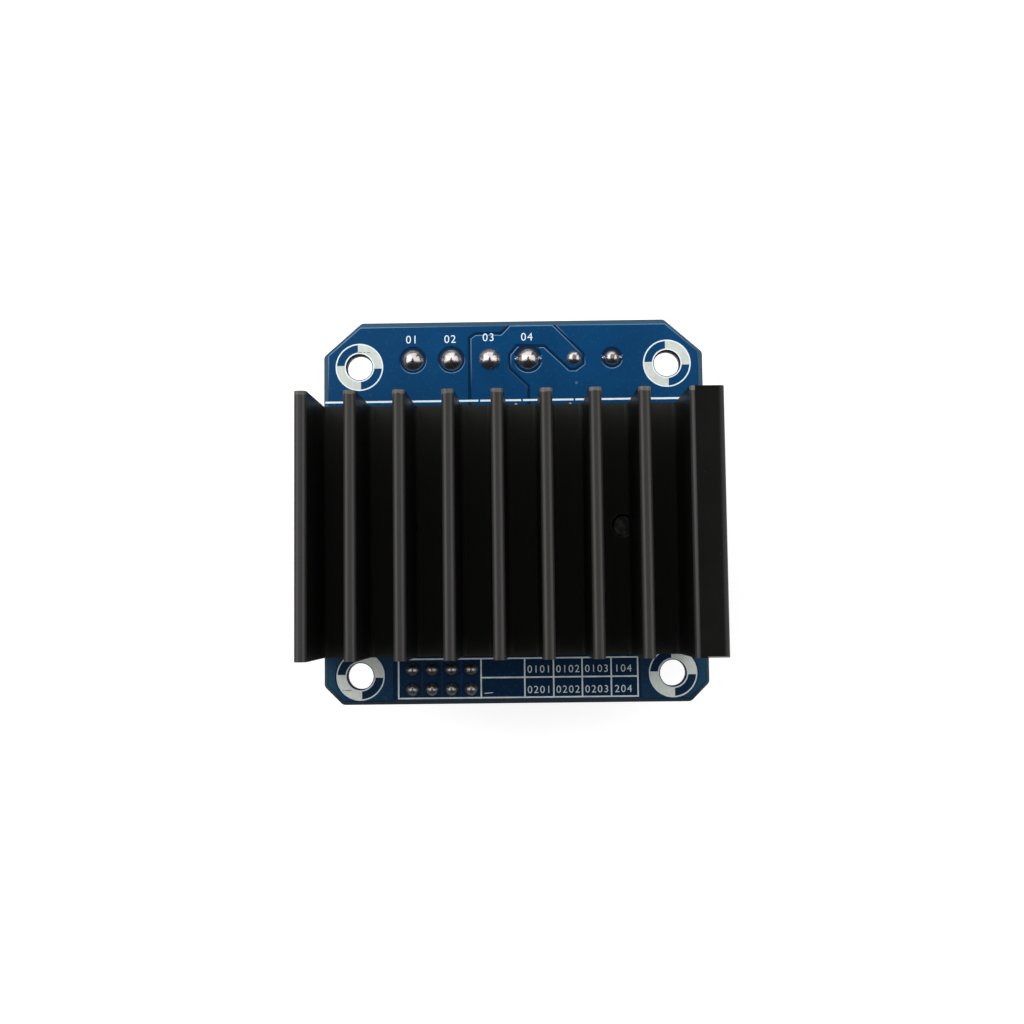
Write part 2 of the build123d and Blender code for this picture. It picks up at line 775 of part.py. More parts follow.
# Solder joints on the solder face, each round the end of its pin or lead
header_spots = [
    (header_x + spot.position.X, header_y + spot.position.Y)
    for spot in GridLocations(header_pitch, header_pitch, header_columns, header_rows)
]
with BuildSketch() as contact_pin_section:
    Rectangle(contact_pin_width, contact_thick)
with BuildSketch() as cap_lead_section:
    Circle(cap_lead_r)
with BuildSketch() as header_pin_section:
    Rectangle(header_pin_width, header_pin_width)
for name, spots, pin, pin_out, reach, high in (
    (
        "terminal",
        terminal_spots,
        contact_pin_section,
        terminal_pin_out,
        terminal_joint_r,
        terminal_joint_high,
    ),
    ("capacitor", cap_spots, cap_lead_section, cap_lead_out, cap_joint_r, cap_joint_high),
    (
        "header",
        header_spots,
        header_pin_section,
        header_pin_out,
        header_joint_r,
        header_joint_high,
    ),
):
    with BuildPart() as joints:
        for x, y in spots:
            with BuildSketch(Plane(origin=(x, y, 0), x_dir=(1, 0, 0), z_dir=(0, -1, 0))):
                with BuildLine():
                    joint_outline(reach, high)
                make_face()
            revolve(axis=Axis((x, y, 0), (0, 0, 1)))
        with BuildSketch():
            with Locations(*spots):
                add(pin.sketch)
        extrude(amount=pin_out, mode=Mode.SUBTRACT)
    joints.part.label = f"{name}_solder_joints"
    export_step(joints.part, f"parts/{name}_solder_joints.step")
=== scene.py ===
import math

import bmesh
import bpy
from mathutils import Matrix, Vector


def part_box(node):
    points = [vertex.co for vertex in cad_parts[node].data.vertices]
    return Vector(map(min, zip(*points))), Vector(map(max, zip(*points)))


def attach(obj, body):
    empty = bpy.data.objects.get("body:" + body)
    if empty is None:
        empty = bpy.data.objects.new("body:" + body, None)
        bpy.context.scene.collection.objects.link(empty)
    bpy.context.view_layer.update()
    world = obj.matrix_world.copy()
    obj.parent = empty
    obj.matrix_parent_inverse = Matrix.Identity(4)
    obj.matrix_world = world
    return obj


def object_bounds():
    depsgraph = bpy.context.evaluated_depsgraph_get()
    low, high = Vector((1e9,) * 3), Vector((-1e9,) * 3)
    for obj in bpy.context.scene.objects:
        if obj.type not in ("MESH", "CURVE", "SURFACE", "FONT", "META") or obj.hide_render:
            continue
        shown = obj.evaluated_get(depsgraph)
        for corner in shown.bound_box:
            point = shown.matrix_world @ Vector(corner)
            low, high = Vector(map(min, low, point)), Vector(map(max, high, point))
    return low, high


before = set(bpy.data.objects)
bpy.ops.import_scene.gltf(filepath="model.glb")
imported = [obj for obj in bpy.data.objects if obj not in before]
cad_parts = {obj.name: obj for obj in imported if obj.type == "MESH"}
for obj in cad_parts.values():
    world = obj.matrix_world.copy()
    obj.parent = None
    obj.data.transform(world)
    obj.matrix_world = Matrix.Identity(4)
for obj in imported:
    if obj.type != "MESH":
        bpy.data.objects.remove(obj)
cad_low, cad_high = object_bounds()

MM = 0.001
BODY = "board_assembly"


# Measures taken from the CAD nodes. Lengths are in millimetres unless a comment says metres.

def box_mm(node):
    low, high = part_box(node)
    return low / MM, high / MM


def centre_mm(node):
    low, high = box_mm(node)
    return (low + high) / 2


board_low, board_high = box_mm("circuit_board")
sink_low, sink_high = box_mm("heatsink")
terminal_middle = centre_mm("terminal_solder_joints")
capacitor_middle = centre_mm("capacitor_solder_joints")
header_middle = centre_mm("header_solder_joints")
sink_screws_low, sink_screws_high = box_mm("heatsink_screws")

# Sizes of the part that its nodes' boxes don't give; heights count from the solder face
TERMINAL_PITCH = 5.08
CAPACITOR_PITCH = 5.0
HEADER_PITCH = 2.54
HOLE_HALF_PITCH = 20.32
HOLE_RADIUS = 1.7
UPPER_CUT_RUN, UPPER_CUT_RISE = 5.0, 4.4
LOWER_CUT = 2.4
CHANNEL_FLOOR = 4.1
FIN_WIDTH = 1.48
FLANGE_REACH = 4.1
SCREW_HEAD_RADIUS = 2.75
SCREW_RADIUS = 1.5

# Thickness of print and copper, and the rounding of the copper's edges
PRINT_THICK = 0.02
COPPER_THICK = 0.1
COPPER_ROUND = 0.14

terminal_y = terminal_middle.y
terminal_x = [terminal_middle.x + TERMINAL_PITCH * (i - 1.5) for i in range(4)]
capacitor_x = [capacitor_middle.x + CAPACITOR_PITCH * side / 2 for side in (-1, 1)]
header_x = [header_middle.x + HEADER_PITCH * (i - 1.5) for i in range(4)]
corners = [(sx * HOLE_HALF_PITCH, sy * HOLE_HALF_PITCH) for sx in (-1, 1) for sy in (-1, 1)]
tap_x = sink_screws_high.x - SCREW_HEAD_RADIUS
tap_y = (sink_screws_low.y + sink_screws_high.y) / 2
flange_left = sink_high.x - FLANGE_REACH


# Node helpers

def new_material(name):
    material = bpy.data.materials.new(name)
    material.use_nodes = True
    nodes = material.node_tree.nodes
    links = material.node_tree.links
    return material, nodes, links, nodes["Principled BSDF"]


def noise(nodes, links, scale, detail=4.0, stretch=None):
    """Noise over the object's own coordinates, scale in repeats per metre."""
    place = nodes.new("ShaderNodeTexCoord")
    texture = nodes.new("ShaderNodeTexNoise")
    texture.inputs["Scale"].default_value = scale
    texture.inputs["Detail"].default_value = detail
    if stretch is None:
        links.new(place.outputs["Object"], texture.inputs["Vector"])
    else:
        mapping = nodes.new("ShaderNodeMapping")
        mapping.inputs["Scale"].default_value = stretch
        links.new(place.outputs["Object"], mapping.inputs["Vector"])
        links.new(mapping.outputs["Vector"], texture.inputs["Vector"])
    return texture.outputs["Fac"]


def ramp(nodes, links, value, stops):
    """A colour ramp over a value: stops are (place, colour) pairs."""
    node = nodes.new("ShaderNodeValToRGB")
    links.new(value, node.inputs["Fac"])
    elements = node.color_ramp.elements
    while len(elements) < len(stops):
        elements.new(0.5)
    for element, (place, colour) in zip(elements, stops):
        element.position = place
        element.color = (*colour, 1.0)
    return node.outputs["Color"]


def spread(nodes, links, value, low, high):
    """A value from 0 to 1, respread between low and high."""
    node = nodes.new("ShaderNodeMapRange")
    node.inputs["To Min"].default_value = low
    node.inputs["To Max"].default_value = high
    links.new(value, node.inputs["Value"])
    return node.outputs["Result"]


def math_node(nodes, links, operation, first, second=None):
    node = nodes.new("ShaderNodeMath")
    node.operation = operation
    for socket, value in zip(node.inputs, (first, second)):
        if value is None:
            continue
        if isinstance(value, (int, float)):
            socket.default_value = value
        else:
            links.new(value, socket)
    return node.outputs["Value"]


def above(nodes, links, value, limit):
    """One where a value is greater than the limit."""
    return math_node(nodes, links, "GREATER_THAN", value, limit)


def below(nodes, links, value, limit):
    """One where a value is less than the limit."""
    return math_node(nodes, links, "LESS_THAN", value, limit)


def larger(nodes, links, first, second):
    return math_node(nodes, links, "MAXIMUM", first, second)


def all_of(nodes, links, *masks):
    """One where every mask is one."""
    result = masks[0]
    for mask in masks[1:]:
        result = math_node(nodes, links, "MULTIPLY", result, mask)
    return result


def bump(nodes, links, shader, height, strength, distance):
    node = nodes.new("ShaderNodeBump")
    node.inputs["Strength"].default_value = strength
    node.inputs["Distance"].default_value = distance
    links.new(height, node.inputs["Height"])
    links.new(node.outputs["Normal"], shader.inputs["Normal"])


def position(nodes, links):
    """The object's own x, y and z, in metres."""
    place = nodes.new("ShaderNodeTexCoord")
    split = nodes.new("ShaderNodeSeparateXYZ")
    links.new(place.outputs["Object"], split.inputs["Vector"])
    return split.outputs


def facing(nodes, links):
    """The surface normal's x, y and z."""
    geometry = nodes.new("ShaderNodeNewGeometry")
    split = nodes.new("ShaderNodeSeparateXYZ")
    links.new(geometry.outputs["Normal"], split.inputs["Vector"])
    return split.outputs


def mix_colour(nodes, links, factor, first, second):
    node = nodes.new("ShaderNodeMix")
    node.data_type = "RGBA"
    links.new(factor, node.inputs[0])
    for socket, value in ((node.inputs[6], first), (node.inputs[7], second)):
        if isinstance(value, tuple):
            socket.default_value = (*value, 1.0)
        else:
            links.new(value, socket)
    return node.outputs[2]


def seen_by_camera(nodes, links):
    """One for rays from the camera, also where they have passed through something clear."""
    rays = nodes.new("ShaderNodeLightPath")
    return larger(nodes, links, rays.outputs["Is Camera Ray"],
                  rays.outputs["Is Transmission Ray"])


def shade(colour, factor):
    return tuple(min(1.0, channel * factor) for channel in colour)


def grey(value):
    return (value, value, value)


# Materials

# A face counts as flat where its normal's z, up or down, is at least FLAT_FACING. Copper edges
# that face up or left, towards the lamps, get a painted highlight; those that face left count
# LEFT_SHARE as much as those that face up.
FLAT_FACING = 0.97
LEFT_SHARE = 0.5
WEAVE_SCALE = 1400.0


def board_weave(nodes, links, shader, smooth, rough):
    """The glass cloth's fine pattern, which varies the roughness between two values."""
    weave = noise(nodes, links, WEAVE_SCALE, detail=2.0)
    links.new(spread(nodes, links, weave, smooth, rough), shader.inputs["Roughness"])
    return weave


def finish(name, colour, rough, vary, metal=0.0, scale=900.0, grain=4000.0, bumpy=0.15,
           depth=0.02, specular=0.5):
    """A worn, slightly uneven finish: colour and roughness vary, with a fine grain."""
    material, nodes, links, shader = new_material(name)
    patches = noise(nodes, links, scale)
    tones = [(0.3, shade(colour, 1.0 - vary)), (0.7, shade(colour, 1.0 + vary))]
    links.new(ramp(nodes, links, patches, tones), shader.inputs["Base Color"])
    fine = noise(nodes, links, grain)
    links.new(spread(nodes, links, fine, rough * 0.85, rough * 1.15), shader.inputs["Roughness"])
    shader.inputs["Metallic"].default_value = metal
    shader.inputs["Specular IOR Level"].default_value = specular
    bump(nodes, links, shader, fine, bumpy, depth * MM)
    return material


def board_material(name, mask_colour, slope_highlight, walls=None, end_colour=None,
                   under_colour=None):
    """Solder mask on the flat faces, thinner on copper edges that face up or left.

    walls gives the bare laminate's colours, at the solder face and at the component face.
    end_colour is the mask's colour at the board's left and right edges, painted light there.
    under_colour is the mask's colour on the component face.
    """
    material, nodes, links, shader = new_material(name)
    patches = noise(nodes, links, 160.0)
    tones = [(0.3, shade(mask_colour, 0.9)), (0.7, shade(mask_colour, 1.12))]
    mask = ramp(nodes, links, patches, tones)
    # Near the left and right ends the mask turns lighter: painted light past the heatsink's
    # shade.
    if end_colour is not None:
        reach = math_node(nodes, links, "DIVIDE", math_node(
            nodes, links, "ABSOLUTE", position(nodes, links)[0]), board_high.x * MM)
        lit_end = ramp(nodes, links, reach, [(0.86, grey(0.0)), (0.99, grey(1.0))])
        mask = mix_colour(nodes, links, lit_end, mask, end_colour)
    across, up, outward = facing(nodes, links)
    if under_colour is not None:
        is_under = below(nodes, links, outward, 0.0)
        mask = mix_colour(nodes, links, is_under, mask, under_colour)
    # Slopes that face up or left, towards the lamps, take a painted highlight.
    is_slope = below(nodes, links, math_node(nodes, links, "ABSOLUTE", outward), FLAT_FACING)
    leftward = math_node(nodes, links, "MULTIPLY", across, -LEFT_SHARE)
    toward_lamps = math_node(nodes, links, "ADD", up, larger(nodes, links, leftward, 0.0))
    side = ramp(nodes, links, toward_lamps, [(0.1, mask_colour), (0.6, slope_highlight)])
    if walls is not None:
        depth = math_node(nodes, links, "DIVIDE", position(nodes, links)[2], board_low.z * MM)
        side = ramp(nodes, links, depth, [(0.2, walls[0]), (0.9, walls[1])])
    links.new(mix_colour(nodes, links, is_slope, mask, side), shader.inputs["Base Color"])
    weave = board_weave(nodes, links, shader, 0.2, 0.32)
    links.new(spread(nodes, links, is_slope, 0.15, 0.0), shader.inputs["Specular IOR Level"])
    bump(nodes, links, shader, weave, 0.1, 0.01 * MM)
    return material


def rim_material(name, low_colour, side_colour, high_colour):
    """The bare rim outside the copper, lighter as painted light let through the laminate, and
    darker along the board's lower edge as painted shade.
    """
    material, nodes, links, shader = new_material(name)
    rise = math_node(nodes, links, "SUBTRACT", position(nodes, links)[1], board_low.y * MM)
    share = math_node(nodes, links, "DIVIDE", rise, (board_high.y - board_low.y) * MM)
    # Darker at the lower edge and lighter upwards: painted shade and painted light.
    stops = [(0.02, low_colour), (0.05, side_colour), (0.9, high_colour)]
    links.new(ramp(nodes, links, share, stops), shader.inputs["Base Color"])
    board_weave(nodes, links, shader, 0.3, 0.45)
    shader.inputs["Specular IOR Level"].default_value = 0.2
    return material


# Where the heatsink is rubbed or painted lighter: TIP_BAND is the depth of the fins' tips, which
# have a painted sheen, LAST_TIP_SHARE how much of the last fin's width counts as its tip,
# FIN_END_RUB the least and greatest reach from a fin's upper end, FLANGE_END_RUB the reach from
# the flange's lower end, FLANGE_END_BAND its depth there and EDGE_HIGHLIGHT the width of a
# painted highlight at the flange's free edge. The tap margins are added round a tapped hole and
# above its mouth.
TIP_BAND = 0.6
LAST_TIP_SHARE = 0.4
FIN_END_RUB = (0.1, 0.8)
FLANGE_END_RUB = 0.15
FLANGE_END_BAND = 0.4
EDGE_HIGHLIGHT = 0.75
TAP_SIDE_MARGIN = 0.06
TAP_DEPTH_MARGIN = 0.3


def anodised_material(name, colour, channel_light_colour, painted_tip_colour, bare_and_highlight_colour):
    """Black anodising: die lines, dust specks, bare fin ends, flange end and taps.

    The channels are painted lighter as painted light, the tips get a painted sheen and the
    flange's edge a painted highlight.
    """
    material, nodes, links, shader = new_material(name)
    along = noise(nodes, links, 1500.0, detail=3.0, stretch=(1.0, 0.02, 1.0))
    cloud = noise(nodes, links, 120.0)
    speck = noise(nodes, links, 1300.0, detail=1.0)
    black = ramp(nodes, links, cloud, [(0.35, shade(colour, 0.8)), (0.75, shade(colour, 1.4))])
    dust = ramp(nodes, links, speck, [(0.77, grey(0.0)), (0.82, grey(0.06))])
    dusty = nodes.new("ShaderNodeMix")
    dusty.data_type = "RGBA"
    dusty.blend_type = "ADD"
    dusty.inputs[0].default_value = 1.0
    links.new(black, dusty.inputs[6])
    links.new(dust, dusty.inputs[7])

    x, y, z = position(nodes, links)
    ragged = noise(nodes, links, 900.0)
    upper_reach = spread(nodes, links, ragged, (sink_high.y - FIN_END_RUB[0]) * MM,
                         (sink_high.y - FIN_END_RUB[1]) * MM)
    on_tips = all_of(
        nodes, links,
        above(nodes, links, z, (sink_high.z - TIP_BAND) * MM),
        below(nodes, links, x, (flange_left + LAST_TIP_SHARE * FIN_WIDTH) * MM),
    )
    fin_ends = all_of(
        nodes, links, on_tips,
        above(nodes, links, y, upper_reach),
        spread(nodes, links, noise(nodes, links, 170.0), 0.0, 1.0),
    )
    flange_end = all_of(
        nodes, links,
        below(nodes, links, y, (sink_low.y + FLANGE_END_RUB) * MM),
        above(nodes, links, z, (sink_high.z - FLANGE_END_BAND) * MM),
        above(nodes, links, x, (flange_left + FIN_WIDTH) * MM),
    )
    across = math_node(nodes, links, "SUBTRACT", math_node(nodes, links, "ABSOLUTE", x),
                       tap_x * MM)
    up = math_node(nodes, links, "SUBTRACT", y, tap_y * MM)
    away = math_node(nodes, links, "SQRT", math_node(
        nodes, links, "ADD",
        math_node(nodes, links, "MULTIPLY", across, across),
        math_node(nodes, links, "MULTIPLY", up, up),
    ))
    in_tap = all_of(
        nodes, links,
        below(nodes, links, away, (SCREW_RADIUS + TAP_SIDE_MARGIN) * MM),
        below(nodes, links, z, (CHANNEL_FLOOR + TAP_DEPTH_MARGIN) * MM),
    )
    overlay = larger(nodes, links, larger(nodes, links, fin_ends, flange_end), in_tap)
    # Lower down, towards the channels' floors, the colour turns lighter: painted light where the
    # lamps don't reach.
    height = math_node(nodes, links, "DIVIDE", z, sink_high.z * MM)
    depth = ramp(nodes, links, height, [(0.26, grey(1.0)), (0.45, grey(0.15)), (0.95, grey(0.0))])
    channels_lit = mix_colour(nodes, links, depth, dusty.outputs[2], channel_light_colour)
    # A painted highlight along the flange's free edge, for its rounding catching the light.
    past = math_node(nodes, links, "SUBTRACT", x, (sink_high.x - EDGE_HIGHLIGHT) * MM)
    edge = ramp(nodes, links, math_node(nodes, links, "DIVIDE", past, EDGE_HIGHLIGHT * MM),
                [(0.0, grey(0.0)), (0.5, grey(0.14)), (1.0, grey(0.5))])
    edged = mix_colour(nodes, links, edge, channels_lit, bare_and_highlight_colour)
    # The fins' tips are painted lighter: a painted sheen for the light on their rounded edges.
    tip_sheen = mix_colour(nodes, links, on_tips, edged, painted_tip_colour)
    links.new(mix_colour(nodes, links, overlay, tip_sheen, bare_and_highlight_colour), shader.inputs["Base Color"])
    links.new(math_node(nodes, links, "MULTIPLY", in_tap, 0.9), shader.inputs["Metallic"])
    links.new(spread(nodes, links, along, 0.30, 0.40), shader.inputs["Roughness"])
    links.new(spread(nodes, links, on_tips, 0.08, 0.35), shader.inputs["Specular IOR Level"])
    bump(nodes, links, shader, along, 0.2, 0.02 * MM)
    return material


THREAD_PITCH = 0.5
SINK_SCREW_THREAD = (-1.5, 4.2)
SINK_SCREW_TIP = 3.0
CLAMP_SCREW_THREAD = (-13.9, -8.0)


def threaded_material(name, colour, rough, thread, tip=None):
    """Plated steel with a thread's ridges between two heights.

    tip gives the height above which the steel is darkened as painted shade, with small painted
    glints, and its colour there.
    """
    material, nodes, links, shader = new_material(name)
    z = position(nodes, links)[2]
    turns = math_node(nodes, links, "MULTIPLY", z, math.tau / (THREAD_PITCH * MM))
    ridge = math_node(nodes, links, "SINE", turns)
    start, stop = thread
    over = above(nodes, links, z, start * MM)
    under = below(nodes, links, z, stop * MM)
    height = all_of(nodes, links, ridge, over, under)
    fine = noise(nodes, links, 3000.0)
    steel = ramp(nodes, links, fine, [(0.3, shade(colour, 0.8)), (0.7, colour)])
    if tip is not None:
        # The tip, down in its hole, is painted dark as shade, with noise for painted glints.
        tip_start, painted_tip_colour = tip
        beyond = above(nodes, links, z, tip_start * MM)
        overlay = ramp(nodes, links, noise(nodes, links, 700.0),
                    [(0.5, painted_tip_colour), (0.7, shade(painted_tip_colour, 4.0))])
        steel = mix_colour(nodes, links, beyond, steel, overlay)
    links.new(steel, shader.inputs["Base Color"])
    links.new(spread(nodes, links, fine, rough * 0.8, rough * 1.2), shader.inputs["Roughness"])
    shader.inputs["Metallic"].default_value = 1.0
    bump(nodes, links, shader, height, 0.6, 0.12 * MM)
    return material


# MASK_SLOPE_HIGHLIGHT and MASK_SHADED_SLOPE_HIGHLIGHT are painted highlights on copper edges.
# MASK_SHADED is the mask darkened with painted shade for the strip below the heatsink, and
# MASK_SHADED_END_LIGHT is painted light at that strip's ends.
MASK_BLUE = (0.0012, 0.044, 0.130)
MASK_SHADED = (0.007, 0.028, 0.066)
MASK_DARK = (0.0022, 0.016, 0.046)
MASK_SLOPE_HIGHLIGHT = (0.15, 0.29, 0.46)
MASK_SHADED_SLOPE_HIGHLIGHT = (0.02, 0.05, 0.09)
MASK_SHADED_END_LIGHT = (0.013, 0.058, 0.105)
LAMINATE = ((0.02, 0.02, 0.017), (0.60, 0.60, 0.52))

mask_bare = board_material("mask_over_fibre", MASK_DARK, MASK_DARK, LAMINATE,
                           under_colour=MASK_BLUE)
mask_copper = board_material("mask_over_copper", MASK_BLUE, MASK_SLOPE_HIGHLIGHT)
# The lower strip's copper takes a darker copy of the mask: painted shade from the heatsink.
mask_shaded = board_material("mask_over_copper_painted_shade", MASK_SHADED, MASK_SHADED_SLOPE_HIGHLIGHT,
                            end_colour=MASK_SHADED_END_LIGHT)
mask_rim = rim_material(
    "mask_at_board_rim", low_colour=(0.013, 0.022, 0.035), side_colour=(0.026, 0.060, 0.098),
    high_colour=(0.034, 0.080, 0.128),
)
# The channel colour and the tip colour are painted light; the bare colour is bare metal and also
# the painted highlight along the flange's edge.
anodised = anodised_material(
    "black_anodising", (0.0048, 0.0048, 0.0045), channel_light_colour=(0.024, 0.024, 0.022),
    painted_tip_colour=(0.024, 0.023, 0.020), bare_and_highlight_colour=(0.17, 0.165, 0.145),
)
silk = finish("silk_print", (0.74, 0.84, 0.89), 0.6, vary=0.06, bumpy=0.05)
# A darker copy of the print for the strip below the heatsink: painted shade, and patchier.
silk_worn_shaded = finish("worn_print_in_painted_shade", (0.52, 0.59, 0.61), 0.6, vary=0.15, scale=700.0)
silk_fill = finish("silk_fill", (0.56, 0.60, 0.55), 0.6, vary=0.08, scale=1500.0)
via_mask = finish("mask_over_via", (0.05, 0.12, 0.21), 0.35, vary=0.2, specular=0.2)
scuff = finish("scuffed_print", (0.10, 0.10, 0.08), 0.6, vary=0.5, scale=3000.0)
solder = finish("solder", (0.50, 0.465, 0.46), 0.24, metal=1.0, vary=0.2, grain=900.0,
                bumpy=0.4, depth=0.12)
# The header's joints take a darker, duller copy of the solder: painted shade below the heatsink.
solder_dull_shaded = finish("dull_solder_in_painted_shade", (0.25, 0.245, 0.25), 0.32, metal=1.0, vary=0.2, grain=1100.0,
                     bumpy=0.5, depth=0.12)
# The heatsink screws' tips get painted shade and painted glints.
screw_zinc = threaded_material("zinc_screw", (0.55, 0.54, 0.50), 0.3, SINK_SCREW_THREAD,
                               tip=(SINK_SCREW_TIP, (0.06, 0.06, 0.057)))
clamp_zinc = threaded_material("clamp_screw_steel", (0.55, 0.54, 0.52), 0.28, CLAMP_SCREW_THREAD)
cage_steel = finish("cage_plating", (0.60, 0.58, 0.53), 0.3, metal=1.0, vary=0.08)
contact_tin = finish("contact_tin", (0.62, 0.60, 0.56), 0.3, metal=1.0, vary=0.08)
housing = finish("moulded_blue", (0.012, 0.07, 0.30), 0.42, vary=0.06, scale=300.0, bumpy=0.25)
pad_grey = finish("silicone_pad", (0.32, 0.33, 0.34), 0.75, vary=0.08, bumpy=0.3)
can_metal = finish("drawn_aluminium", grey(0.72), 0.3, metal=1.0, vary=0.05)
sleeve = finish("shrunk_sleeve", (0.012, 0.012, 0.014), 0.3, vary=0.15, scale=200.0)
rubber = finish("bung_rubber", grey(0.02), 0.8, vary=0.2)
wire = finish("tinned_wire", (0.62, 0.60, 0.58), 0.25, metal=1.0, vary=0.06)
gilt = finish("gilt_pins", (0.72, 0.50, 0.20), 0.25, metal=1.0, vary=0.06)
nylon = finish("header_plastic", (0.010, 0.010, 0.011), 0.5, vary=0.15, bumpy=0.25)
epoxy = finish("chip_epoxy", (0.016, 0.016, 0.017), 0.62, vary=0.15, grain=6000.0, bumpy=0.5)
tab_tin = finish("tab_tin", (0.58, 0.57, 0.55), 0.35, metal=1.0, vary=0.1)
ceramic = finish("ceramic_tan", (0.30, 0.20, 0.12), 0.55, vary=0.12)
glaze = finish("resistor_glaze", (0.010, 0.010, 0.011), 0.35, vary=0.1)
end_tin = finish("chip_end_tin", (0.62, 0.61, 0.59), 0.35, metal=1.0, vary=0.08)

NODE_FINISH = {
    "circuit_board": mask_bare,
    "thermal_pad": pad_grey,
    "heatsink": anodised,
    "heatsink_screws": screw_zinc,
    "terminal_housing": housing,
    "terminal_contact": contact_tin,
    "clamp_cage": cage_steel,
    "clamp_screw": clamp_zinc,
    "terminal_solder_joints": solder,
    "capacitor_can": can_metal,
    "capacitor_sleeve": sleeve,
    "capacitor_bung": rubber,
    "capacitor_leads": wire,
    "capacitor_solder_joints": solder,
    "header_base": nylon,
    "header_pins": gilt,
    "header_solder_joints": solder_dull_shaded,
    "buffer_chip_body": epoxy,
    "buffer_chip_leads": end_tin,
    "resistor_bodies": glaze,
    "resistor_ends": end_tin,
    "chip_capacitor_bodies": ceramic,
    "chip_capacitor_ends": end_tin,
}
for number in (1, 2):
    NODE_FINISH[f"bridge_chip_{number}_body"] = epoxy
    NODE_FINISH[f"bridge_chip_{number}_tab"] = tab_tin
    NODE_FINISH[f"bridge_chip_{number}_leads"] = end_tin

# Numbered copies, such as clamp_cage_1 to _4, share the entry without the number
for name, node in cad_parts.items():
    key = name if name in NODE_FINISH else name.rstrip("1234").rstrip("_")
    node.data.materials.clear()
    node.data.materials.append(NODE_FINISH[key])


# Outlines in the board's plane

def ring(x, y, radius, count=64):
    turn = math.tau / count
    return [(x + radius * math.cos(i * turn), y + radius * math.sin(i * turn))
            for i in range(count)]


def arc(x, y, radius, start, stop, count=24):
    """Points along part of a circle, between two angles in degrees."""
    angles = [math.radians(start + (stop - start) * i / count) for i in range(count + 1)]
    return [(x + radius * math.cos(angle), y + radius * math.sin(angle)) for angle in angles]


def sector(x, y, inner, outer, start, stop):
    """Part of a flat ring, between two angles in degrees."""
    return arc(x, y, outer, start, stop) + arc(x, y, inner, stop, start)


def strip(start, end, width):
    """A straight printed line, as its four corners."""
    along = (Vector(end) - Vector(start)).normalized()
    side = Vector((-along.y, along.x)) * (width / 2)
    path = (Vector(start) + side, Vector(end) + side, Vector(end) - side, Vector(start) - side)
    return [tuple(corner) for corner in path]


def beside(path, shift):
    """A path moved to its left; its two ends keep their height."""
    points = [Vector(point) for point in path]
    ways = [(after - point).normalized() for point, after in zip(points[:-1], points[1:])]
    sides = [Vector((-way.y, way.x)) for way in ways]
    moved = [(points[0].x - shift / ways[0].y, points[0].y)]
    for point, side, after in zip(points[1:-1], sides[:-1], sides[1:]):
        moved.append(tuple(point + (side + after) * (shift / (1.0 + side.dot(after)))))
    return moved + [(points[-1].x - shift / ways[-1].y, points[-1].y)]


def rectangle(left, low, right, high):
    return [(left, low), (right, low), (right, high), (left, high)]


def frame_loops(left, low, right, high, width):
    """The two loops of a rectangle drawn with a line, centred on its sides."""
    half = width / 2
    return [rectangle(left - half, low - half, right + half, high + half),
            rectangle(left + half, low + half, right - half, high - half)]


def cut_corner(x, y, run, rise, inset, cut_inset):
    """Two points of an outline drawn inside the board's, at the ends of a cut corner.

    The first is on the board's side and the second on its end. inset is the distance from
    the straight edges and cut_inset the distance from the cut.
    """
    slope = math.hypot(run, rise)
    side = (abs(x) - inset, abs(y) - rise - (cut_inset * slope - inset * rise) / run)
    end = (abs(x) - run - (cut_inset * slope - inset * run) / rise, abs(y) - inset)
    sign_x = math.copysign(1.0, x)
    sign_y = math.copysign(1.0, y)
    return (sign_x * side[0], sign_y * side[1]), (sign_x * end[0], sign_y * end[1])


def upper_corner(x, inset, cut_inset):
    return cut_corner(x, board_high.y, UPPER_CUT_RUN, UPPER_CUT_RISE, inset, cut_inset)


def lower_corner(x, inset):
    return cut_corner(x, board_low.y, LOWER_CUT, LOWER_CUT, inset, inset)


def board_outline(inset, cut_inset):
    """The board's outline drawn this far inside its edge and inside its upper cut corners."""
    left_side, left_end = upper_corner(board_low.x, inset, cut_inset)
    right_side, right_end = upper_corner(board_high.x, inset, cut_inset)
    low_left_side, low_left_end = lower_corner(board_low.x, inset)
    low_right_side, low_right_end = lower_corner(board_high.x, inset)
    return [left_side, left_end, right_end, right_side,
            low_right_side, low_right_end, low_left_end, low_left_side]


# Thin flat pieces on the board's faces

def keep(mesh, name, material, shift):
    """Make a mesh, moved up by the shift, a piece of the board assembly."""
    mesh.name = name
    for vertex in mesh.vertices:
        vertex.co.z += shift * MM
    mesh.materials.clear()
    mesh.materials.append(material)
    piece = bpy.data.objects.new(name, mesh)
    bpy.context.collection.objects.link(piece)
    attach(piece, BODY)


def curve_mesh(curve):
    """The mesh of a curve or text, with its helper object taken away again."""
    helper = bpy.data.objects.new("outline", curve)
    bpy.context.collection.objects.link(helper)
    graph = bpy.context.evaluated_depsgraph_get()
    mesh = bpy.data.meshes.new_from_object(helper.evaluated_get(graph))
    bpy.data.objects.remove(helper)
    return mesh


def flat_piece(name, loops, low, high, material, round_edge=0.0):
    """Closed loops of (x, y), filled and given a thickness; inner loops cut holes."""
    curve = bpy.data.curves.new(name, "CURVE")
    curve.dimensions = "2D"
    curve.fill_mode = "BOTH"
    curve.extrude = (high - low) / 2 * MM - round_edge * MM
    curve.bevel_depth = round_edge * MM
    curve.bevel_resolution = 2
    curve.offset = -round_edge * MM
    for loop in loops:
        spline = curve.splines.new("POLY")
        spline.points.add(len(loop) - 1)
        for point, (x, y) in zip(spline.points, loop):
            point.co = (x * MM, y * MM, 0.0, 1.0)
        spline.use_cyclic_u = True
    keep(curve_mesh(curve), name, material, (low + high) / 2)


FONT_SCALE = 1.42
STROKE_THINNING = 0.004


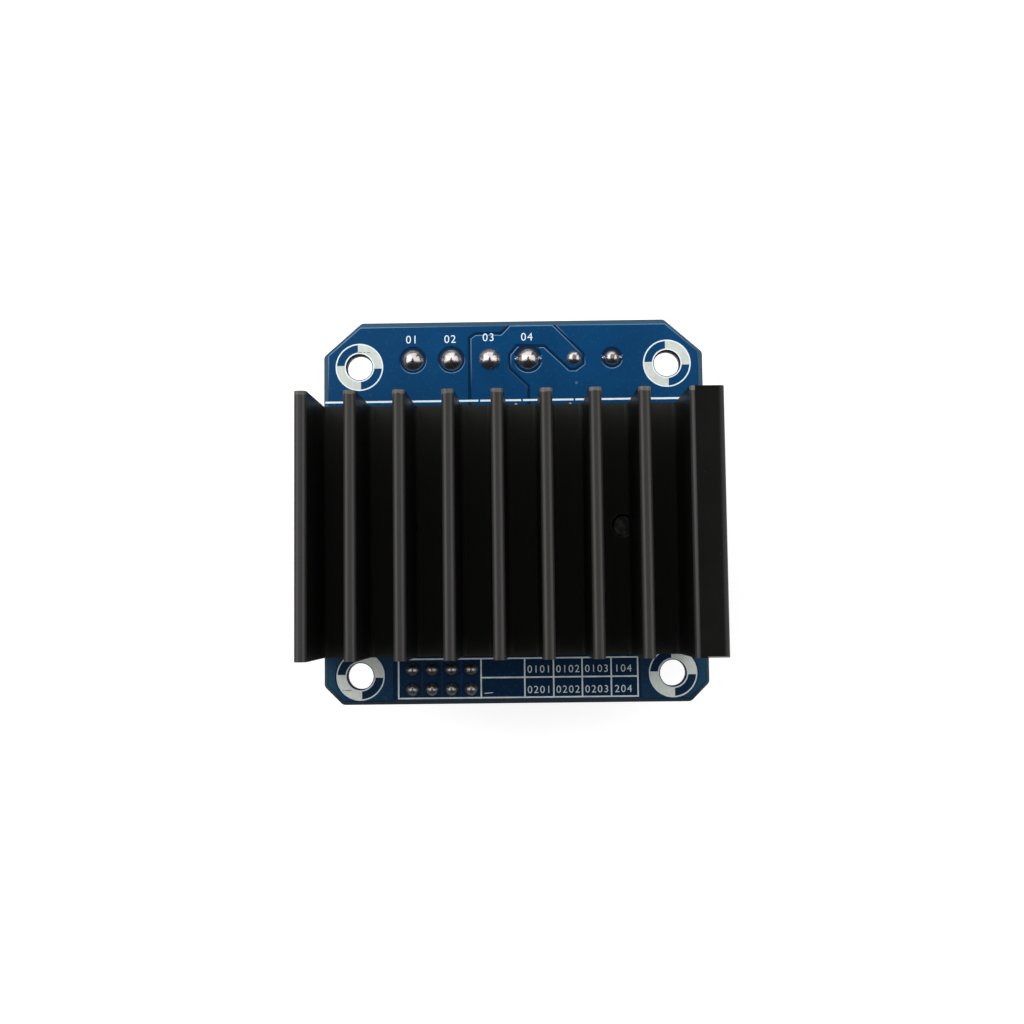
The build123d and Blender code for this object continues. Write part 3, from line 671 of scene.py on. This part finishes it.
def number_piece(name, labels, height, spacing, low, material):
    """Printed numbers of this height: labels are (text, x, y of the middle)."""
    whole = bmesh.new()
    for text, x, y in labels:
        curve = bpy.data.curves.new(name, "FONT")
        curve.body = text
        curve.align_x = "CENTER"
        curve.align_y = "CENTER"
        curve.size = height * FONT_SCALE * MM
        curve.space_character = spacing
        curve.offset = -STROKE_THINNING * MM
        curve.extrude = PRINT_THICK / 2 * MM
        mesh = curve_mesh(curve)
        for vertex in mesh.vertices:
            vertex.co.x += x * MM
            vertex.co.y += y * MM
        whole.from_mesh(mesh)
    joined = bpy.data.meshes.new(name)
    whole.to_mesh(joined)
    whole.free()
    keep(joined, name, material, low + PRINT_THICK / 2)


# Copper areas under the mask, parted by narrow gaps. They end out of sight under the heatsink.
POUR_INSET = 0.54
POUR_CUT_INSET = 0.28
LOWER_INSET = 0.35
HALF_GAP = 0.13
under_sink_high = sink_high.y - 0.3
under_sink_low = sink_low.y + 0.8

# The copper keeps clear of the solder joints. At the fourth terminal joint and at one joint of
# the capacitor the clearance is crossed by two spokes, SPOKE degrees to each side of the middle,
# and it begins out of sight under the joint. CAPACITOR_CLEAR is its inner and outer radius.
CLEARANCE = 0.22
SPOKED_CLEARANCE = 0.32
HIDDEN_REACH = 0.1
SPOKE = 12.0
CAPACITOR_CLEAR = (0.95, 1.36)
joint_radius = terminal_middle.y - box_mm("terminal_solder_joints")[0].y
clear_radius = joint_radius + SPOKED_CLEARANCE
under_joint = joint_radius - HIDDEN_REACH


def pour(name, loops, material=mask_copper):
    flat_piece(name, loops, COPPER_THICK - 2 * COPPER_ROUND, COPPER_THICK, material,
               round_edge=COPPER_ROUND)


left_side, left_end = upper_corner(board_low.x, POUR_INSET, POUR_CUT_INSET)
right_side, right_end = upper_corner(board_high.x, POUR_INSET, POUR_CUT_INSET)
pour_top = left_end[1]

# The copper comes close to the upper holes, and stops outside the lower holes' printed rings
RING_OUTER, RING_LINE = 3.15, 0.17
HOLE_MARGIN = 0.12
RING_MARGIN = 0.02
hole_loops = {}
for x, y in corners:
    clearing = HOLE_RADIUS + HOLE_MARGIN if y > 0 else RING_OUTER + RING_MARGIN
    hole_loops[x, y] = ring(x, y, clearing)

left_gap = [(-5.72, under_sink_high), (-5.72, 24.04), (-4.93, 24.59), (-1.56, 24.57),
            (-0.52, pour_top)]
right_gap = [(2.02, under_sink_high), (2.02, 17.53), (-0.45, 19.93), (-0.45, 21.77),
             (0.60, 22.97), (4.18, 22.83), (7.49, 19.66), (8.31, 19.66), (9.34, 20.44),
             (9.34, 21.67), (8.76, 22.30), (5.49, pour_top)]

pour("left_pour", [
    [(left_side[0], under_sink_high), left_side, left_end] + beside(left_gap, HALF_GAP)[::-1],
    ring(terminal_x[0], terminal_y, joint_radius + CLEARANCE),
    ring(terminal_x[1], terminal_y, joint_radius + CLEARANCE),
    hole_loops[(-HOLE_HALF_PITCH, HOLE_HALF_PITCH)],
])
pour("middle_pour", [beside(left_gap, -HALF_GAP) + beside(right_gap, HALF_GAP)[::-1]])

# The fourth joint's clearance opens into the gap above it
right_edge = beside(right_gap, -HALF_GAP)
over_joint = right_edge[5][1] - terminal_y
opening = math.degrees(math.asin(over_joint / clear_radius))
fourth = (terminal_x[3], terminal_y)
notch = (arc(*fourth, clear_radius, 180.0 - opening, 180.0 - SPOKE)
         + arc(*fourth, under_joint, 180.0 - SPOKE, SPOKE)
         + arc(*fourth, clear_radius, SPOKE, opening))
pour("right_pour", [
    right_edge[:5] + notch + right_edge[5:]
    + [right_end, right_side, (right_side[0], under_sink_high)],
    sector(*fourth, under_joint, clear_radius, 180.0 + SPOKE, 360.0 - SPOKE),
    sector(capacitor_x[1], terminal_y, *CAPACITOR_CLEAR, SPOKE, 180.0 - SPOKE),
    sector(capacitor_x[1], terminal_y, *CAPACITOR_CLEAR, 180.0 + SPOKE, 360.0 - SPOKE),
    hole_loops[(HOLE_HALF_PITCH, HOLE_HALF_PITCH)],
])

# Solder drawn out along the spokes: triangles that start inside the joint and end in a point
SPOKE_HALF_WIDTH = 0.26
SPOKE_LOW, SPOKE_HIGH = COPPER_THICK - 0.06, COPPER_THICK + 0.08
SPOKE_ROUND = 0.07
SPOKE_REACHES = (
    (terminal_x[3], joint_radius - 0.15, clear_radius),
    (capacitor_x[1], 0.85, CAPACITOR_CLEAR[1]),
)
spoke_loops = []
for x, start, stop in SPOKE_REACHES:
    for side in (-1, 1):
        spoke_loops.append([(x + side * start, terminal_y + SPOKE_HALF_WIDTH),
                            (x + side * stop, terminal_y),
                            (x + side * start, terminal_y - SPOKE_HALF_WIDTH)])
flat_piece("spoke_solder", spoke_loops, SPOKE_LOW, SPOKE_HIGH, solder,
           round_edge=SPOKE_ROUND)

low_left_side, low_left_end = lower_corner(board_low.x, LOWER_INSET)
low_right_side, low_right_end = lower_corner(board_high.x, LOWER_INSET)
LEFT_POUR_END = -16.0
RIGHT_POUR_START = 16.1
# The lower pours take the mask darkened with painted shade.
pour("lower_left_pour", [
    [(low_left_side[0], under_sink_low), low_left_side, low_left_end,
     (LEFT_POUR_END, low_left_end[1]), (LEFT_POUR_END, under_sink_low)],
    hole_loops[(-HOLE_HALF_PITCH, -HOLE_HALF_PITCH)],
], mask_shaded)
pour("lower_right_pour", [
    [(RIGHT_POUR_START, under_sink_low), (RIGHT_POUR_START, low_right_end[1]), low_right_end,
     low_right_side, (low_right_side[0], under_sink_low)],
    hole_loops[(HOLE_HALF_PITCH, -HOLE_HALF_PITCH)],
], mask_shaded)

# The laminate's rim outside the copper, lighter with painted light let through the laminate,
# which runs a little way in under it
RIM_INSET = 0.06
RIM_OVERLAP = 0.02
RIM_THICK = 0.01
flat_piece("board_rim", [
    board_outline(RIM_INSET, RIM_INSET),
    board_outline(POUR_INSET + RIM_OVERLAP, POUR_CUT_INSET + RIM_OVERLAP),
], 0.0, RIM_THICK, mask_rim)

# Narrow tracks between the header's columns, thinner than the print that crosses them, in the
# mask darkened with painted shade
TRACK_LOW, TRACK_HIGH = -22.8, -18.1
TRACK_WIDTH = 0.18
TRACK_THICK = 0.015
header_gaps = [(near + far) / 2 for near, far in zip(header_x[:-1], header_x[1:])]
flat_piece("header_tracks",
           [strip((x, TRACK_LOW), (x, TRACK_HIGH), TRACK_WIDTH) for x in header_gaps],
           0.0, TRACK_THICK, mask_shaded)

# Tinned vias near the heatsink's upper edge, and one that the mask covers
VIA_SPOTS = ((-17.12, 14.8), (-11.23, 14.77), (0.33, 15.06), (7.51, 15.05))
COVERED_VIA_SPOT = (8.35, 17.88)
VIA_RADIUS = 0.2
VIA_SIDES = 20
VIA_TOP = COPPER_THICK + 0.03
flat_piece("tinned_vias", [ring(x, y, VIA_RADIUS, VIA_SIDES) for x, y in VIA_SPOTS],
           COPPER_THICK, VIA_TOP, end_tin)
flat_piece("covered_via", [ring(*COVERED_VIA_SPOT, VIA_RADIUS, VIA_SIDES)],
           COPPER_THICK, VIA_TOP, via_mask)

# Corner rings: two printed circles round each hole, two opposite quarters filled.
# SCUFFS are worn marks on the two left rings: where they start and stop, from the hole's
# middle, and their y.
RING_INNER_INSIDE, RING_INNER_OUTSIDE = 1.8, 1.97
QUARTER_OVERLAP = 0.2
SCUFF_WIDTH = 0.09
SCUFF_THICK = 0.01
SCUFFS = {
    "upper": ((-0.1, 0.35, 22.28), (0.55, 0.8, 22.28), (1.0, 1.45, 22.26)),
    "lower": ((-2.35, -2.1, -22.12), (-2.0, -1.15, -22.12)),
}
# The lower rings' lines take the print darkened with painted shade.
for level, low, line_material in (("upper", COPPER_THICK, silk), ("lower", 0.0, silk_worn_shaded)):
    high = low + PRINT_THICK
    ring_loops = []
    quarter_loops = []
    for x, y in corners:
        if (y > 0) != (level == "upper"):
            continue
        ring_loops += [ring(x, y, RING_OUTER), ring(x, y, RING_OUTER - RING_LINE)]
        ring_loops += [ring(x, y, RING_INNER_OUTSIDE), ring(x, y, RING_INNER_INSIDE)]
        for start in (0, 180):
            quarter = []
            for radius, turn in ((RING_OUTER - RING_LINE, 1), (RING_INNER_OUTSIDE, -1)):
                extra = math.degrees(math.asin(QUARTER_OVERLAP / radius))
                quarter += arc(x, y, radius, start - extra, start + 90 + extra)[::turn]
            quarter_loops.append(quarter)
    flat_piece(f"{level}_ring_lines", ring_loops, low, high, line_material)
    flat_piece(f"{level}_ring_quarters", quarter_loops, low, high, silk_fill)
    marks = [strip((-HOLE_HALF_PITCH + start, y), (-HOLE_HALF_PITCH + stop, y), SCUFF_WIDTH)
             for start, stop, y in SCUFFS[level]]
    flat_piece(f"{level}_ring_scuffs", marks, high, high + SCUFF_THICK, scuff)

# The line along the heatsink's upper edge, with the small breaks of a worn print
LINE_Y, LINE_WIDTH = 15.66, 0.25
LINE_ENDS = (-24.85, 23.4)
LINE_BREAKS = (-4.5, 1.14, 8.05)
HALF_BREAK = 0.12
line_starts = [LINE_ENDS[0]] + [x + HALF_BREAK for x in LINE_BREAKS]
line_stops = [x - HALF_BREAK for x in LINE_BREAKS] + [LINE_ENDS[1]]
flat_piece(
    "heatsink_line",
    [strip((start, LINE_Y), (stop, LINE_Y), LINE_WIDTH)
     for start, stop in zip(line_starts, line_stops)],
    COPPER_THICK, COPPER_THICK + PRINT_THICK, silk,
)

# The header's frame and the table of its pins, in the print darkened with painted shade
TABLE_LINE = 0.19
TABLE_LEFT = -15.36
TABLE_COLUMNS = (-4.62, 1.05, 4.80, 8.52, 12.29, 15.74)
TABLE_ROWS = (-23.25, -20.67, -18.2)
half_line = TABLE_LINE / 2
table_loops = [
    rectangle(TABLE_LEFT - half_line, TABLE_ROWS[0] - half_line,
              TABLE_COLUMNS[-1] + half_line, TABLE_ROWS[-1] + half_line),
    rectangle(TABLE_LEFT + half_line, TABLE_ROWS[0] + half_line,
              TABLE_COLUMNS[0] - half_line, TABLE_ROWS[-1] - half_line),
]
for left, right in zip(TABLE_COLUMNS[:-1], TABLE_COLUMNS[1:]):
    for low, high in zip(TABLE_ROWS[:-1], TABLE_ROWS[1:]):
        table_loops.append(rectangle(left + half_line, low + half_line,
                                     right - half_line, high - half_line))
flat_piece("header_table", table_loops, 0.0, PRINT_THICK, silk_worn_shaded)
DASH_START, DASH_END, DASH_WIDTH = (-4.2, -22.7), (-3.1, -22.6), 0.1
flat_piece("table_dash", [strip(DASH_START, DASH_END, DASH_WIDTH)], 0.0, PRINT_THICK, silk_worn_shaded)

# Plain numbers where the board's own lettering stands
LABEL_RISES = (2.68, 2.68, 2.85, 2.85)
LABEL_SHIFT = -0.15
LABEL_HEIGHT, LABEL_SPACING = 1.05, 1.15
number_piece(
    "terminal_numbers",
    [(f"{place:02d}", x + LABEL_SHIFT, terminal_y + rise)
     for place, (x, rise) in enumerate(zip(terminal_x, LABEL_RISES), 1)],
    LABEL_HEIGHT, LABEL_SPACING, COPPER_THICK, silk,
)
CELL_ROWS = (-19.68, -22.32)
CELL_HEIGHT, CELL_SPACING = 0.95, 1.2
SHORT_LABEL_MIDDLE = 1.55
cell_labels = []
cells = list(zip(TABLE_COLUMNS[1:-1], TABLE_COLUMNS[2:]))
for place, (left, right) in enumerate(cells, 1):
    short = place == len(cells)
    middle = left + SHORT_LABEL_MIDDLE if short else (left + right) / 2
    for row, y in enumerate(CELL_ROWS, 1):
        text = f"{row:02d}{place:02d}"
        cell_labels.append((text[1:] if short else text, middle, y))
# The header's numbers take the print darkened with painted shade.
number_piece("header_numbers", cell_labels, CELL_HEIGHT, CELL_SPACING, 0.0, silk_worn_shaded)

# The component face: printed outlines round the large parts
PRINT_MARGIN = 0.35
EDGE_MARGIN = 0.25
HALF_PRINT = 0.1


def outline_round(node):
    """A printed frame round a part, kept on the board where the part reaches its edge."""
    low, high = box_mm(node)
    return frame_loops(max(low.x - PRINT_MARGIN, board_low.x + EDGE_MARGIN),
                       max(low.y - PRINT_MARGIN, board_low.y + EDGE_MARGIN),
                       min(high.x + PRINT_MARGIN, board_high.x - EDGE_MARGIN),
                       min(high.y + PRINT_MARGIN, board_high.y - EDGE_MARGIN), 2 * HALF_PRINT)


OUTLINED = ("terminal_housing", "header_base", "buffer_chip_body", "bridge_chip_1_body",
            "bridge_chip_2_body")
component_loops = [outline_round(part) for part in OUTLINED]
sleeve_low, sleeve_high = box_mm("capacitor_sleeve")
sleeve_radius = (sleeve_high.x - sleeve_low.x) / 2 + PRINT_MARGIN
capacitor_ring = []
for half in (HALF_PRINT, -HALF_PRINT):
    loop = ring(capacitor_middle.x, capacitor_middle.y, sleeve_radius + half)
    top = board_high.y - EDGE_MARGIN + half
    capacitor_ring.append([(x, min(y, top)) for x, y in loop])
for place, loops in enumerate(component_loops + [capacitor_ring], 1):
    flat_piece(f"part_outline_{place}", loops, board_low.z - PRINT_THICK, board_low.z, silk)


# Camera and lights: the camera in millimetres and degrees, fitted to the photo

CAMERA_PLACE = (1.18, -11.35, 169.81)
CAMERA_TURN = (4.114, 0.567, -0.676)
camera_data = bpy.data.cameras.new("camera")
camera_data.sensor_width = 36.0
camera_data.lens = 45.62
camera_data.clip_start = 0.01
camera_data.clip_end = 10.0
camera = bpy.data.objects.new("camera", camera_data)
camera.location = [value * MM for value in CAMERA_PLACE]
camera.rotation_euler = [math.radians(angle) for angle in CAMERA_TURN]
bpy.context.collection.objects.link(camera)
bpy.context.scene.camera = camera


def lamp(name, place, width, depth, power):
    """An area lamp aimed at the middle of the board; place and sizes are in metres."""
    data = bpy.data.lights.new(name, "AREA")
    data.shape = "RECTANGLE"
    data.size = width
    data.size_y = depth
    data.energy = power
    light = bpy.data.objects.new(name, data)
    light.location = place
    light.rotation_euler = (-Vector(place)).to_track_quat("-Z", "Y").to_euler()
    bpy.context.collection.objects.link(light)


lamp("key", place=(-0.15, 0.56, 0.44), width=1.4, depth=0.8, power=5.6)
lamp("left", place=(-0.52, 0.08, 0.54), width=0.8, depth=0.8, power=4.2)
lamp("right", place=(0.52, 0.08, 0.54), width=0.8, depth=0.8, power=3.6)

# Floor and surroundings, white to the camera. FLOOR_REACH is in metres.

FLOOR_DROP = 0.1
FLOOR_REACH = 3.0
FLOOR_GLOW = 0.7
WORLD_LIGHT = 0.06


def floor_material():
    material, nodes, links, shader = new_material("pale_floor")
    shader.inputs["Base Color"].default_value = (0.5, 0.5, 0.5, 1.0)
    shader.inputs["Roughness"].default_value = 0.9
    shader.inputs["Specular IOR Level"].default_value = 0.0
    glow = math_node(nodes, links, "MULTIPLY", seen_by_camera(nodes, links), FLOOR_GLOW)
    links.new(glow, shader.inputs["Emission Strength"])
    shader.inputs["Emission Color"].default_value = (1.0, 1.0, 1.0, 1.0)
    return material


floor_mesh = bpy.data.meshes.new("floor")
floor_level = cad_low.z - FLOOR_DROP * MM
floor_corners = rectangle(-FLOOR_REACH, -FLOOR_REACH, FLOOR_REACH, FLOOR_REACH)
floor_mesh.from_pydata([(x, y, floor_level) for x, y in floor_corners], [], [(0, 1, 2, 3)])
floor_mesh.materials.append(floor_material())
floor = bpy.data.objects.new("floor", floor_mesh)
bpy.context.collection.objects.link(floor)

world = bpy.data.worlds.new("studio")
world.use_nodes = True
bpy.context.scene.world = world
world_nodes = world.node_tree.nodes
world_links = world.node_tree.links
background = world_nodes["Background"]
seen = seen_by_camera(world_nodes, world_links)
strength = spread(world_nodes, world_links, seen, WORLD_LIGHT, 1.0)
world_links.new(strength, background.inputs["Strength"])
background.inputs["Color"].default_value = (1.0, 1.0, 1.0, 1.0)

bpy.context.scene.view_settings.view_transform = "Standard"
